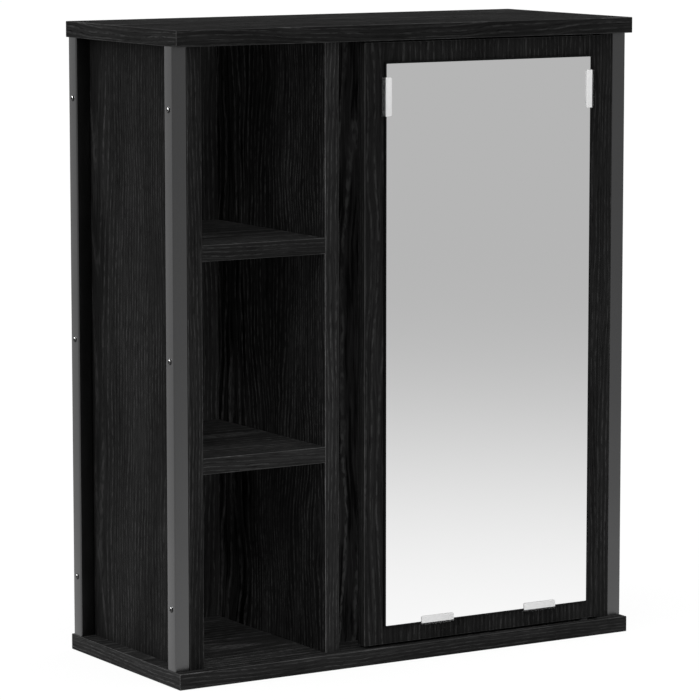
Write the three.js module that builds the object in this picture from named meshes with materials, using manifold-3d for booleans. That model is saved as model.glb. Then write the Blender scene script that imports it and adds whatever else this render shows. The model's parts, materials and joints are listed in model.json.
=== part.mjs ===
// A bathroom cabinet with open shelves on the left and a mirrored door on the right.
// Millimetres, +Z up, the door faces -Y. The origin is the middle of the underside.
// Pieces are laid out from the front left bottom corner, and the last group centres them.
import * as THREE from 'three';
import { mergeVertices } from 'three/addons/utils/BufferGeometryUtils.js';
import Module from 'manifold-3d';

// Driving dimensions
const WIDTH = 500;
const DEPTH = 213;
const HEIGHT = 600;
const BOARD = 15; // thickness of every board of the carcass
const BACK_BOARD = 3; // thickness of the back panel
const GAP = 0.3; // clearance round pieces that are let into others

const POST = 15; // outer width of the square tubes
const POST_WALL = 1.25;
const POST_RADIUS = 1.5;
const POST_INSET = 1; // from the ends of the top panel to the tubes
const FRONT_SETBACK = 10; // from the top panel's front edge to the side panels
const POST_SCREW_HEIGHTS = [72, 300, 528];

const OPEN_BAY = 130; // clear width of the open shelves
const FILLER_WIDTH = 60;
const FILLER_FRONT = 43; // how far behind the front edge the strip stands

const DOOR_LEFT = 200.5;
const DOOR_RIGHT = 467;
const DOOR_FRONT = 4.5;
const DOOR_THICKNESS = 12;
const DOOR_BOTTOM = 17.5;
const DOOR_TOP = 583.5;

const MIRROR_LEFT = 221;
const MIRROR_RIGHT = 453.5;
const MIRROR_BOTTOM = 34;
const MIRROR_TOP = 565;
const MIRROR_THICKNESS = 3;
const MIRROR_CORNER = 2;

const CLIP_LENGTH = 36;
const CLIP_WALL = 1.5;
const CLIP_LIP = 1.25; // thickness of the lip that laps over the glass
const CLIP_OVERLAP = 6.5; // how far the lip reaches over the glass
const CLIP_BASE_DEPTH = 3; // how deep the pocket for the clip's foot is
const CLIP_BASE_REACH = 18; // how far the foot reaches behind the glass
const SIDE_CLIP_HEIGHT = 533;
const BOTTOM_CLIP_PLACES = [280, 397];

const PIVOT_X = 455;
const PIVOT_PIN_RADIUS = 2;
const PIVOT_PIN_LENGTH = 12;
const BUSH_RADIUS = 4;
const BUSH_FLANGE_RADIUS = 5;
const BUSH_FLANGE = 0.75;
const BUSH_LENGTH = 12;
const PLATE_THICKNESS = 2;
const PLATE_LENGTH = 36;
const PLATE_WIDTH = 13;
const PLATE_PAST_PIN = 9; // how far the plate reaches past its pin, towards the side panel
const PIVOT_SCREW_PLACES = [434, 444];
const PIVOT_SCREW_RECESS = 1; // how deep the screw heads sit in the plate
const WASHER_THICKNESS = 1.25;

const CATCH_LEFT = 250;
const CATCH_EAR = 10;
const CATCH_EAR_SETBACK = 2; // the ears are this much shorter than the body at each end
const CATCH_EAR_THICKNESS = 3;
const CATCH_BODY = 24;
const CATCH_BEHIND_DOOR = 2;
const CATCH_DEPTH = 16;
const CATCH_HEIGHT = 13;
const CATCH_WALL = 2;
const MAGNET_PROUD = 0.25; // how far the magnet stands out of its housing
const STRIKE_HALF_LENGTH = 14;
const STRIKE_HALF_HEIGHT = 5;
const STRIKE_THICKNESS = 1.25;
const STRIKE_SCREW_SEAT = 0.25; // from the door's back to the underside of the screw head

const BRACKET_PLACES = [
  { name: 'left', x: 45 },
  { name: 'right', x: 430 },
];
const BRACKET_WIDTH = 25;
const BRACKET_THICKNESS = 1.5;
const BRACKET_TOP_LEG = 28;
const BRACKET_REAR_LEG = 42;
const BRACKET_SCREW_SETBACK = 8; // from the top leg's front end to its screws
const BRACKET_SCREW_SPACING = 13;
const BRACKET_HOLE_RADIUS = 3;
const BRACKET_HOLE_DROP = 28; // from the top panel down to the wall screw

const ROUND = 12; // sides of screws, pins and holes

// Places that follow from them
const INNER_BOTTOM = BOARD;
const INNER_TOP = HEIGHT - BOARD;
const SIDE_FRONT = FRONT_SETBACK;
const SIDE_REAR = DEPTH - BACK_BOARD;
const LEFT_POST = POST_INSET;
const LEFT_SIDE = LEFT_POST + POST;
const OPEN_LEFT = LEFT_SIDE + BOARD;
const DIVIDER = OPEN_LEFT + OPEN_BAY;
const INNER_LEFT = DIVIDER + BOARD;
const RIGHT_POST = WIDTH - POST_INSET - POST;
const RIGHT_SIDE = RIGHT_POST - BOARD;
const INNER_REAR_OF_FILLER = FILLER_FRONT + BOARD;
const SHELF_STEP = (HEIGHT - 4 * BOARD) / 3 + BOARD;
const DOOR_REAR = DOOR_FRONT + DOOR_THICKNESS;
const PIVOT_Y = DOOR_FRONT + DOOR_THICKNESS / 2;
const PLATE_LEFT = PIVOT_X + PLATE_PAST_PIN - PLATE_LENGTH;
const PLATE_FRONT = PIVOT_Y - PLATE_WIDTH / 2;
const CATCH_FRONT = DOOR_REAR + CATCH_BEHIND_DOOR;
const CATCH_EAR_UNDER = INNER_TOP - CATCH_EAR_THICKNESS;
const CATCH_SCREW_Y = CATCH_FRONT + CATCH_DEPTH / 2;
const CATCH_SCREW_PLACES = [CATCH_LEFT + CATCH_EAR / 2, CATCH_LEFT + 1.5 * CATCH_EAR + CATCH_BODY];
const STRIKE_X = CATCH_LEFT + CATCH_EAR + CATCH_BODY / 2;
const STRIKE_Z = INNER_TOP - CATCH_HEIGHT / 2;
const BRACKET_UNDER = INNER_TOP - BRACKET_THICKNESS;
const BRACKET_SCREW_Y = SIDE_REAR - BRACKET_TOP_LEG + BRACKET_SCREW_SETBACK;
const WALL_HOLE_Z = INNER_TOP - BRACKET_HOLE_DROP;

// Finishes
const finishes = {
  blackOak: { color: 0x262422, roughness: 0.6, metalness: 0 },
  backBoard: { color: 0x1d1b1a, roughness: 0.7, metalness: 0 },
  post: { color: 0x55565a, roughness: 0.5, metalness: 0.3 },
  blackZinc: { color: 0x2b2b2d, roughness: 0.35, metalness: 0.8 },
  mirror: { color: 0xe6e9ea, roughness: 0.03, metalness: 1 },
  clip: { color: 0xe8e8e6, roughness: 0.15, metalness: 0 },
  steel: { color: 0xa9abad, roughness: 0.35, metalness: 1 },
  nylon: { color: 0x1e1e20, roughness: 0.5, metalness: 0 },
  magnet: { color: 0x3a3a3c, roughness: 0.7, metalness: 0.2 },
};

const wasm = await Module();
wasm.setup();

const cabinet = new THREE.Group();
cabinet.position.set(-WIDTH / 2, -DEPTH / 2, 0);

function add(name, finish, geometry) {
  const mesh = new THREE.Mesh(geometry, new THREE.MeshStandardMaterial(finishes[finish]));
  mesh.name = name;
  cabinet.add(mesh);
}

// Shapes

function box([x0, y0, z0], [x1, y1, z1]) {
  const geometry = new THREE.BoxGeometry(x1 - x0, y1 - y0, z1 - z0);
  return geometry.translate((x0 + x1) / 2, (y0 + y1) / 2, (z0 + z1) / 2);
}

// A cylinder that starts at a point and runs along a direction
function rod(radius, start, direction, length) {
  const geometry = new THREE.CylinderGeometry(radius, radius, length, ROUND);
  geometry.translate(0, length / 2, 0);
  const turn = new THREE.Quaternion();
  turn.setFromUnitVectors(new THREE.Vector3(0, 1, 0), new THREE.Vector3(...direction));
  return geometry.applyQuaternion(turn).translate(...start);
}

function roundedRectangle(width, height, radius) {
  const path = new THREE.Shape();
  const x = width / 2 - radius;
  const y = height / 2 - radius;
  path.absarc(x, y, radius, 0, Math.PI / 2);
  path.absarc(-x, y, radius, Math.PI / 2, Math.PI);
  path.absarc(-x, -y, radius, Math.PI, 1.5 * Math.PI);
  path.absarc(x, -y, radius, 1.5 * Math.PI, 2 * Math.PI);
  return path;
}

function solid(geometry) {
  const bare = geometry.clone();
  bare.deleteAttribute('normal');
  bare.deleteAttribute('uv');
  const merged = mergeVertices(bare);
  const vertProperties = new Float32Array(merged.attributes.position.array);
  const triVerts = new Uint32Array(merged.index.array);
  return new wasm.Manifold(new wasm.Mesh({ numProp: 3, vertProperties, triVerts }));
}

function surface(shape) {
  const mesh = shape.getMesh();
  const geometry = new THREE.BufferGeometry();
  geometry.setAttribute('position', new THREE.BufferAttribute(mesh.vertProperties, 3));
  geometry.setIndex(new THREE.BufferAttribute(mesh.triVerts, 1));
  geometry.computeVertexNormals();
  return geometry;
}

function cut(geometry, tools) {
  return surface(tools.reduce((whole, tool) => whole.subtract(solid(tool)), solid(geometry)));
}

function join(first, second) {
  return surface(solid(first).add(solid(second)));
}

// Fasteners: each has its head's underside on a face at "seat" and its shank along "direction"

const screwSizes = {
  post: { head: 2.75, height: 0.95, shank: 1.5, length: 27 },
  pivot: { head: 2.5, height: 0.75, shank: 1.25, length: 10 },
  clip: { head: 2.5, height: 0.75, shank: 1.25, length: 6 },
  catch: { head: 2.75, height: 1, shank: 1.5, length: 12 },
  strike: { head: 2.5, height: 1, shank: 1.25, length: 9 },
  bracket: { head: 3, height: 1, shank: 1.5, length: 12 },
};

function screw(kind, seat, direction) {
  const { head, height, shank, length } = screwSizes[kind];
  const tip = 1.5 * shank;
  const profile = [
    [0, length],
    [shank, length - tip],
    [shank, 0],
    [head, 0],
    [head, -0.35 * height],
    [0.75 * head, -0.8 * height],
    [0, -height],
  ];
  const points = profile.map(([radius, y]) => new THREE.Vector2(radius, y));
  const geometry = new THREE.LatheGeometry(points.reverse(), ROUND);
  const turn = new THREE.Quaternion();
  turn.setFromUnitVectors(new THREE.Vector3(0, 1, 0), new THREE.Vector3(...direction));
  return geometry.applyQuaternion(turn).translate(...seat);
}

// The hole that a screw leaves in whatever it passes through
function screwHole(kind, seat, direction) {
  const { shank, length } = screwSizes[kind];
  return rod(shank + GAP, seat, direction, length + 1);
}

// Where each screw sits

const alongX = [1, 0, 0];
const backX = [-1, 0, 0];
const alongY = [0, 1, 0];
const backY = [0, -1, 0];
const up = [0, 0, 1];
const down = [0, 0, -1];

const postPlaces = [
  { name: 'front_left', x: LEFT_POST, y: SIDE_FRONT, face: LEFT_POST, inward: alongX },
  { name: 'rear_left', x: LEFT_POST, y: SIDE_REAR - POST, face: LEFT_POST, inward: alongX },
  { name: 'front_right', x: RIGHT_POST, y: SIDE_FRONT, face: RIGHT_POST + POST, inward: backX },
  { name: 'rear_right', x: RIGHT_POST, y: SIDE_REAR - POST, face: RIGHT_POST + POST, inward: backX },
];

function postScrewSeats(post) {
  return POST_SCREW_HEIGHTS.map((z) => [post.face, post.y + POST / 2, z]);
}

function bracketScrewSeats(place) {
  const middle = place.x + BRACKET_WIDTH / 2;
  const sides = [-0.5, 0.5];
  return sides.map((side) => [middle + side * BRACKET_SCREW_SPACING, BRACKET_SCREW_Y, BRACKET_UNDER]);
}

// Carcass

function platePocket(z0, z1) {
  return box(
    [PLATE_LEFT - GAP, PLATE_FRONT - GAP, z0],
    [PLATE_LEFT + PLATE_LENGTH + GAP, PLATE_FRONT + PLATE_WIDTH + GAP, z1],
  );
}

function topPanel() {
  const board = box([0, 0, INNER_TOP], [WIDTH, DEPTH, HEIGHT]);
  const pocketRoof = INNER_TOP + PLATE_THICKNESS;
  const seats = BRACKET_PLACES.flatMap(bracketScrewSeats);
  return cut(board, [
    platePocket(INNER_TOP - 1, pocketRoof),
    ...PIVOT_SCREW_PLACES.map((x) =>
      screwHole('pivot', [x, PIVOT_Y, INNER_TOP + PIVOT_SCREW_RECESS], up),
    ),
    ...CATCH_SCREW_PLACES.map((x) => screwHole('catch', [x, CATCH_SCREW_Y, CATCH_EAR_UNDER], up)),
    ...seats.map((seat) => screwHole('bracket', seat, up)),
  ]);
}

function bottomPanel() {
  const board = box([0, 0, 0], [WIDTH, DEPTH, BOARD]);
  const pocketFloor = INNER_BOTTOM - PLATE_THICKNESS;
  return cut(board, [
    platePocket(pocketFloor, INNER_BOTTOM + 1),
    ...PIVOT_SCREW_PLACES.map((x) =>
      screwHole('pivot', [x, PIVOT_Y, INNER_BOTTOM - PIVOT_SCREW_RECESS], down),
    ),
  ]);
}

function sidePanel(x, posts) {
  const board = box([x, SIDE_FRONT, INNER_BOTTOM], [x + BOARD, SIDE_REAR, INNER_TOP]);
  const holes = posts.flatMap((post) =>
    postScrewSeats(post).map((seat) => screwHole('post', seat, post.inward)),
  );
  return cut(board, holes);
}

function shelf(left, right, front, level) {
  const z = INNER_BOTTOM + level * SHELF_STEP - BOARD;
  return box([left, front, z], [right, SIDE_REAR, z + BOARD]);
}

function backPanel() {
  const board = box([LEFT_SIDE, SIDE_REAR, INNER_BOTTOM], [RIGHT_POST, DEPTH, INNER_TOP]);
  const holes = BRACKET_PLACES.map((place) =>
    rod(BRACKET_HOLE_RADIUS, [place.x + BRACKET_WIDTH / 2, SIDE_REAR - 1, WALL_HOLE_Z], alongY, 5),
  );
  return cut(board, holes);
}

function fillerStrip() {
  return box(
    [INNER_LEFT, FILLER_FRONT, INNER_BOTTOM],
    [INNER_LEFT + FILLER_WIDTH, INNER_REAR_OF_FILLER, INNER_TOP],
  );
}

function addCarcass() {
  add('top_panel', 'blackOak', topPanel());
  add('bottom_panel', 'blackOak', bottomPanel());
  add('left_side_panel', 'blackOak', sidePanel(LEFT_SIDE, postPlaces.slice(0, 2)));
  add('right_side_panel', 'blackOak', sidePanel(RIGHT_SIDE, postPlaces.slice(2)));
  const divider = box([DIVIDER, SIDE_FRONT, INNER_BOTTOM], [INNER_LEFT, SIDE_REAR, INNER_TOP]);
  add('divider_panel', 'blackOak', divider);
  add('back_panel', 'backBoard', backPanel());
  add('filler_strip', 'blackOak', fillerStrip());
  add('lower_open_shelf', 'blackOak', shelf(OPEN_LEFT, DIVIDER, SIDE_FRONT, 1));
  add('upper_open_shelf', 'blackOak', shelf(OPEN_LEFT, DIVIDER, SIDE_FRONT, 2));
  add('lower_inner_shelf', 'blackOak', shelf(INNER_LEFT, RIGHT_SIDE, INNER_REAR_OF_FILLER, 1));
  add('upper_inner_shelf', 'blackOak', shelf(INNER_LEFT, RIGHT_SIDE, INNER_REAR_OF_FILLER, 2));
}

// Posts: square tubes with a row of screws through them into the side panels

function postTube(post) {
  const section = roundedRectangle(POST, POST, POST_RADIUS);
  const inner = POST - 2 * POST_WALL;
  section.holes.push(roundedRectangle(inner, inner, POST_RADIUS - POST_WALL));
  const options = { depth: INNER_TOP - INNER_BOTTOM, bevelEnabled: false, curveSegments: 3 };
  const tube = new THREE.ExtrudeGeometry(section, options);
  tube.translate(post.x + POST / 2, post.y + POST / 2, INNER_BOTTOM);
  const holes = postScrewSeats(post).map(([x, y, z]) => {
    const start = [x - post.inward[0], y, z];
    return rod(screwSizes.post.shank + GAP, start, post.inward, POST + 2);
  });
  return cut(tube, holes);
}

function addPosts() {
  for (const post of postPlaces) {
    add(`${post.name}_post`, 'post', postTube(post));
    postScrewSeats(post).forEach((seat, i) => {
      add(`${post.name}_post_screw_${i + 1}`, 'blackZinc', screw('post', seat, post.inward));
    });
  }
}

// Pivots: a plate with a pin, let into the top and the bottom panel

function pivotPlate(back, inward) {
  const face = back + inward[2] * PLATE_THICKNESS;
  const low = Math.min(back, face);
  const plate = box(
    [PLATE_LEFT, PLATE_FRONT, low],
    [PLATE_LEFT + PLATE_LENGTH, PLATE_FRONT + PLATE_WIDTH, low + PLATE_THICKNESS],
  );
  const pinLength = PLATE_THICKNESS + PIVOT_PIN_LENGTH;
  const pin = rod(PIVOT_PIN_RADIUS, [PIVOT_X, PIVOT_Y, back], inward, pinLength);
  const { head, shank } = screwSizes.pivot;
  const holes = PIVOT_SCREW_PLACES.flatMap((x) => [
    rod(head + GAP, [x, PIVOT_Y, face - inward[2] * PIVOT_SCREW_RECESS], inward, PIVOT_SCREW_RECESS + 1),
    rod(shank + GAP, [x, PIVOT_Y, back - inward[2]], inward, PLATE_THICKNESS + 2),
  ]);
  return cut(join(plate, pin), holes);
}

// A flanged bush bored right through: its flange lies on the door's edge
function pivotBush(edge, inward) {
  const bore = PIVOT_PIN_RADIUS + GAP;
  const profile = [
    [bore, -BUSH_FLANGE],
    [BUSH_FLANGE_RADIUS, -BUSH_FLANGE],
    [BUSH_FLANGE_RADIUS, 0],
    [BUSH_RADIUS, 0],
    [BUSH_RADIUS, BUSH_LENGTH],
    [bore, BUSH_LENGTH],
    [bore, -BUSH_FLANGE],
  ];
  const points = profile.map(([radius, y]) => new THREE.Vector2(radius, y));
  const geometry = new THREE.LatheGeometry(points, ROUND);
  const turn = new THREE.Quaternion();
  turn.setFromUnitVectors(new THREE.Vector3(0, 1, 0), new THREE.Vector3(...inward));
  return geometry.applyQuaternion(turn).translate(PIVOT_X, PIVOT_Y, edge);
}

function washer() {
  const outer = rod(BUSH_FLANGE_RADIUS, [PIVOT_X, PIVOT_Y, INNER_BOTTOM], up, WASHER_THICKNESS);
  const hole = rod(PIVOT_PIN_RADIUS + GAP, [PIVOT_X, PIVOT_Y, INNER_BOTTOM - 1], up, 4);
  return cut(outer, [hole]);
}

function addPivots() {
  const roof = INNER_TOP + PLATE_THICKNESS;
  const floor = INNER_BOTTOM - PLATE_THICKNESS;
  add('upper_pivot_plate', 'blackZinc', pivotPlate(roof, down));
  add('lower_pivot_plate', 'blackZinc', pivotPlate(floor, up));
  add('lower_pivot_washer', 'nylon', washer());
  PIVOT_SCREW_PLACES.forEach((x, i) => {
    const upperSeat = [x, PIVOT_Y, INNER_TOP + PIVOT_SCREW_RECESS];
    const lowerSeat = [x, PIVOT_Y, INNER_BOTTOM - PIVOT_SCREW_RECESS];
    add(`upper_pivot_screw_${i + 1}`, 'blackZinc', screw('pivot', upperSeat, up));
    add(`lower_pivot_screw_${i + 1}`, 'blackZinc', screw('pivot', lowerSeat, down));
  });
  add('upper_pivot_bush', 'nylon', pivotBush(DOOR_TOP, down));
  add('lower_pivot_bush', 'nylon', pivotBush(DOOR_BOTTOM, up));
}

// Clips: a J section, laid out with the glass edge at u = 0, the door's face at v = 0,
// u pointing away from the glass and v out of the door

function clipSection() {
  const out = GAP + CLIP_WALL;
  const front = MIRROR_THICKNESS + CLIP_LIP;
  const foot = -CLIP_BASE_DEPTH;
  return [
    [out, foot],
    [out, front],
    [-CLIP_OVERLAP, front],
    [-CLIP_OVERLAP, MIRROR_THICKNESS],
    [GAP, MIRROR_THICKNESS],
    [GAP, foot + CLIP_WALL],
    [-CLIP_BASE_REACH, foot + CLIP_WALL],
    [-CLIP_BASE_REACH, foot],
  ];
}

const clipPlaces = [
  { name: 'left', edge: [MIRROR_LEFT, SIDE_CLIP_HEIGHT], out: [-1, 0] },
  { name: 'right', edge: [MIRROR_RIGHT, SIDE_CLIP_HEIGHT], out: [1, 0] },
  { name: 'bottom_left', edge: [BOTTOM_CLIP_PLACES[0], MIRROR_BOTTOM], out: [0, -1] },
  { name: 'bottom_right', edge: [BOTTOM_CLIP_PLACES[1], MIRROR_BOTTOM], out: [0, -1] },
];

// Turns a shape built in (u, v, along) into the cabinet's own directions
function placeOnDoor(geometry, clip) {
  const outward = new THREE.Vector3(clip.out[0], 0, clip.out[1]);
  const forward = new THREE.Vector3(...backY);
  const along = new THREE.Vector3().crossVectors(outward, forward);
  const turn = new THREE.Matrix4().makeBasis(outward, forward, along);
  return geometry.applyMatrix4(turn).translate(clip.edge[0], DOOR_FRONT, clip.edge[1]);
}

const clipScrewReach = 0.6 * CLIP_BASE_REACH;

function clipScrewSeat(clip) {
  const [x, z] = clip.edge;
  const y = DOOR_FRONT + CLIP_BASE_DEPTH - CLIP_WALL;
  return [x - clip.out[0] * clipScrewReach, y, z - clip.out[1] * clipScrewReach];
}

function mirrorClip(clip) {
  const section = new THREE.Shape(clipSection().map(([u, v]) => new THREE.Vector2(u, v)));
  const options = { depth: CLIP_LENGTH, bevelEnabled: false };
  const body = new THREE.ExtrudeGeometry(section, options).translate(0, 0, -CLIP_LENGTH / 2);
  const [x, y, z] = clipScrewSeat(clip);
  const hole = rod(screwSizes.clip.shank + GAP, [x, y - 1, z], alongY, CLIP_WALL + 2);
  return cut(placeOnDoor(body, clip), [hole]);
}

function clipPocket(clip) {
  const half = CLIP_LENGTH / 2 + GAP;
  const pocket = box(
    [-CLIP_BASE_REACH - GAP, -CLIP_BASE_DEPTH, -half],
    [GAP + CLIP_WALL + GAP, 1, half],
  );
  return placeOnDoor(pocket, clip);
}

// Door

function doorPanel() {
  const board = box([DOOR_LEFT, DOOR_FRONT, DOOR_BOTTOM], [DOOR_RIGHT, DOOR_REAR, DOOR_TOP]);
  const boreRadius = BUSH_RADIUS + GAP;
  const boreLength = BUSH_LENGTH + 2;
  return cut(board, [
    ...clipPlaces.map(clipPocket),
    ...clipPlaces.map((clip) => screwHole('clip', clipScrewSeat(clip), alongY)),
    rod(boreRadius, [PIVOT_X, PIVOT_Y, DOOR_BOTTOM - 1], up, boreLength),
    rod(boreRadius, [PIVOT_X, PIVOT_Y, DOOR_TOP + 1], down, boreLength),
    screwHole('strike', [STRIKE_X, DOOR_REAR + 1, STRIKE_Z], backY),
  ]);
}

function mirrorGlass() {
  const width = MIRROR_RIGHT - MIRROR_LEFT;
  const height = MIRROR_TOP - MIRROR_BOTTOM;
  const outline = roundedRectangle(width, height, MIRROR_CORNER);
  const options = { depth: MIRROR_THICKNESS, bevelEnabled: false, curveSegments: 3 };
  const glass = new THREE.ExtrudeGeometry(outline, options);
  glass.rotateX(Math.PI / 2);
  return glass.translate(MIRROR_LEFT + width / 2, DOOR_FRONT, MIRROR_BOTTOM + height / 2);
}

function addDoor() {
  add('door_panel', 'blackOak', doorPanel());
  add('mirror_glass', 'mirror', mirrorGlass());
  for (const clip of clipPlaces) {
    add(`${clip.name}_mirror_clip`, 'clip', mirrorClip(clip));
    add(`${clip.name}_clip_screw`, 'steel', screw('clip', clipScrewSeat(clip), alongY));
  }
}

// Magnetic catch under the top panel, with its steel plate on the back of the door

function catchHousing() {
  const left = CATCH_LEFT + CATCH_EAR;
  const rear = CATCH_FRONT + CATCH_DEPTH;
  const under = INNER_TOP - CATCH_HEIGHT;
  const body = box([left, CATCH_FRONT, under], [left + CATCH_BODY, rear, INNER_TOP]);
  const ears = box(
    [CATCH_LEFT, CATCH_FRONT + CATCH_EAR_SETBACK, CATCH_EAR_UNDER],
    [left + CATCH_BODY + CATCH_EAR, rear - CATCH_EAR_SETBACK, INNER_TOP],
  );
  const cavity = box(
    [left + CATCH_WALL - GAP, CATCH_FRONT - 1, under + CATCH_WALL],
    [left + CATCH_BODY - CATCH_WALL + GAP, rear - CATCH_WALL + GAP, INNER_TOP - CATCH_WALL + GAP],
  );
  const { shank } = screwSizes.catch;
  const holes = CATCH_SCREW_PLACES.map((x) =>
    rod(shank + GAP, [x, CATCH_SCREW_Y, CATCH_EAR_UNDER - 1], up, CATCH_EAR_THICKNESS + 2),
  );
  return cut(join(body, ears), [cavity, ...holes]);
}

function catchMagnet() {
  const left = CATCH_LEFT + CATCH_EAR + CATCH_WALL;
  const rear = CATCH_FRONT + CATCH_DEPTH - CATCH_WALL;
  return box(
    [left, CATCH_FRONT - MAGNET_PROUD, INNER_TOP - CATCH_HEIGHT + CATCH_WALL],
    [left + CATCH_BODY - 2 * CATCH_WALL, rear, INNER_TOP - CATCH_WALL],
  );
}

function strikePlate() {
  const plate = box(
    [STRIKE_X - STRIKE_HALF_LENGTH, DOOR_REAR, STRIKE_Z - STRIKE_HALF_HEIGHT],
    [STRIKE_X + STRIKE_HALF_LENGTH, DOOR_REAR + STRIKE_THICKNESS, STRIKE_Z + STRIKE_HALF_HEIGHT],
  );
  const { head, shank } = screwSizes.strike;
  const seat = [STRIKE_X, DOOR_REAR + STRIKE_SCREW_SEAT, STRIKE_Z];
  return cut(plate, [
    rod(head + GAP, seat, alongY, STRIKE_THICKNESS),
    rod(shank + GAP, [STRIKE_X, DOOR_REAR - 1, STRIKE_Z], alongY, STRIKE_THICKNESS + 2),
  ]);
}

function addCatch() {
  add('catch_housing', 'nylon', catchHousing());
  add('catch_magnet', 'magnet', catchMagnet());
  CATCH_SCREW_PLACES.forEach((x, i) => {
    add(`catch_screw_${i + 1}`, 'steel', screw('catch', [x, CATCH_SCREW_Y, CATCH_EAR_UNDER], up));
  });
  add('strike_plate', 'steel', strikePlate());
  const strikeSeat = [STRIKE_X, DOOR_REAR + STRIKE_SCREW_SEAT, STRIKE_Z];
  add('strike_screw', 'steel', screw('strike', strikeSeat, backY));
}

// Hanging brackets in the upper rear corners

function hangingBracket(place) {
  const right = place.x + BRACKET_WIDTH;
  const topLeg = box(
    [place.x, SIDE_REAR - BRACKET_TOP_LEG, BRACKET_UNDER],
    [right, SIDE_REAR, INNER_TOP],
  );
  const rearLeg = box(
    [place.x, SIDE_REAR - BRACKET_THICKNESS, INNER_TOP - BRACKET_REAR_LEG],
    [right, SIDE_REAR, INNER_TOP],
  );
  const { shank } = screwSizes.bracket;
  const wallHole = [place.x + BRACKET_WIDTH / 2, SIDE_REAR - BRACKET_THICKNESS - 1, WALL_HOLE_Z];
  return cut(join(topLeg, rearLeg), [
    rod(BRACKET_HOLE_RADIUS, wallHole, alongY, BRACKET_THICKNESS + 2),
    ...bracketScrewSeats(place).map(([x, y, z]) =>
      rod(shank + GAP, [x, y, z - 1], up, BRACKET_THICKNESS + 2),
    ),
  ]);
}

function addBrackets() {
  for (const place of BRACKET_PLACES) {
    add(`${place.name}_hanging_bracket`, 'blackZinc', hangingBracket(place));
    bracketScrewSeats(place).forEach((seat, i) => {
      add(`${place.name}_bracket_screw_${i + 1}`, 'blackZinc', screw('bracket', seat, up));
    });
  }
}

addCarcass();
addPosts();
addPivots();
addDoor();
addCatch();
addBrackets();

export default cabinet;
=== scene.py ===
import json
import math

import bmesh
import bpy
from bpy.props import FloatProperty, FloatVectorProperty, IntProperty, PointerProperty
from mathutils import Matrix, Vector

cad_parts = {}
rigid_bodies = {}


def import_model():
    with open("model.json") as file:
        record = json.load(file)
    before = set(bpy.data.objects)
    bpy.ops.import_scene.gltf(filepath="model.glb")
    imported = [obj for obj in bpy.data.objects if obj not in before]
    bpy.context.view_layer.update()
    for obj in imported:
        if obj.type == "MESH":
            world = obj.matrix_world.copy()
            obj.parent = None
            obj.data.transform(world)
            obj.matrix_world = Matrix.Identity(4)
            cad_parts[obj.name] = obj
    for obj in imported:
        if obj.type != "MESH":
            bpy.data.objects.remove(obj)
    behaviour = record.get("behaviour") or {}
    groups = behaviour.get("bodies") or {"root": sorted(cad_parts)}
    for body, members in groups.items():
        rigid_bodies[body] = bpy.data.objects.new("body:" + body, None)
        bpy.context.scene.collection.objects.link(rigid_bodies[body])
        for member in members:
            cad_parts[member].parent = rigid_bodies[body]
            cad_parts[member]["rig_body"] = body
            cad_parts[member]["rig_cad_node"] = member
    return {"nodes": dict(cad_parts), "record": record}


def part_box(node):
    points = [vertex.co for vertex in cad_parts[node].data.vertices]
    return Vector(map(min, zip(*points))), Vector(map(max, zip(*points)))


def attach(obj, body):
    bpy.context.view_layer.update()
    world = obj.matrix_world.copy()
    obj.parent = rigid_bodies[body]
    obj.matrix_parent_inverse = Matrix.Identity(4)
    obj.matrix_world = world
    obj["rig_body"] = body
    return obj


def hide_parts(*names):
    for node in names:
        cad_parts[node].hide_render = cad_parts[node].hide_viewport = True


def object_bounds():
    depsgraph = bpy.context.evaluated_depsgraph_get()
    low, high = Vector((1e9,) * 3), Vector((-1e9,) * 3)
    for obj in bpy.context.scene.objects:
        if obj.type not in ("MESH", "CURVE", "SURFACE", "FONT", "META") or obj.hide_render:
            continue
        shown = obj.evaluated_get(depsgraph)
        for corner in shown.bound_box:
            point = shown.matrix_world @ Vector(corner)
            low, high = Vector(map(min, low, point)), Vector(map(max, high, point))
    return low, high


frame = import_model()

bl_info = {
    "name": "Mirror Cabinet",
    "version": (1, 0, 0),
    "blender": (4, 5, 0),
    "location": "View3D > Sidebar > Cabinet",
    "description": "Builds a black oak bathroom cabinet with open shelves and a mirrored door",
    "category": "Object",
}

MM = 0.001
CAD_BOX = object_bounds()
X_AXIS, Y_AXIS, Z_AXIS = 0, 1, 2
UP = Vector((0, 0, 1))
FORWARD = Vector((0, -1, 0))
TOUCH = 1e-6

# Upright boards carry their grain up the cabinet, lying boards from side to side.
# The heart is the line that the oak figure runs round, measured along the board's width.
BOARDS = {
    "top_panel": {"run": X_AXIS, "heart": 0.02, "seed": 1, "kind": "dusky"},
    "bottom_panel": {"run": X_AXIS, "heart": -0.02, "seed": 2, "kind": "broad"},
    "left_side_panel": {"run": Z_AXIS, "heart": 0.075, "seed": 3, "kind": "plain"},
    "right_side_panel": {"run": Z_AXIS, "heart": 0.03, "seed": 4, "kind": "plain"},
    # The divider's figured face and its darker edge tone are painted shade, which offsets the lights meant
    # for the divider alone.
    "divider_panel": {"run": Z_AXIS, "heart": 0.075, "seed": 5, "kind": "figured", "edge_tone": 0.84},
    "filler_strip": {"run": Z_AXIS, "heart": 0.01, "seed": 6, "kind": "flamed"},
    "lower_open_shelf": {"run": X_AXIS, "heart": 0.01, "seed": 7, "kind": "broad"},
    "upper_open_shelf": {"run": X_AXIS, "heart": -0.02, "seed": 8, "kind": "broad"},
    "lower_inner_shelf": {"run": X_AXIS, "heart": -0.03, "seed": 9, "kind": "plain"},
    "upper_inner_shelf": {"run": X_AXIS, "heart": 0.04, "seed": 10, "kind": "plain"},
    "door_panel": {"run": Z_AXIS, "heart": -0.105, "seed": 11, "kind": "plain"},
    "back_panel": {"run": Z_AXIS, "heart": -0.05, "seed": 12, "kind": "light"},
}
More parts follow.
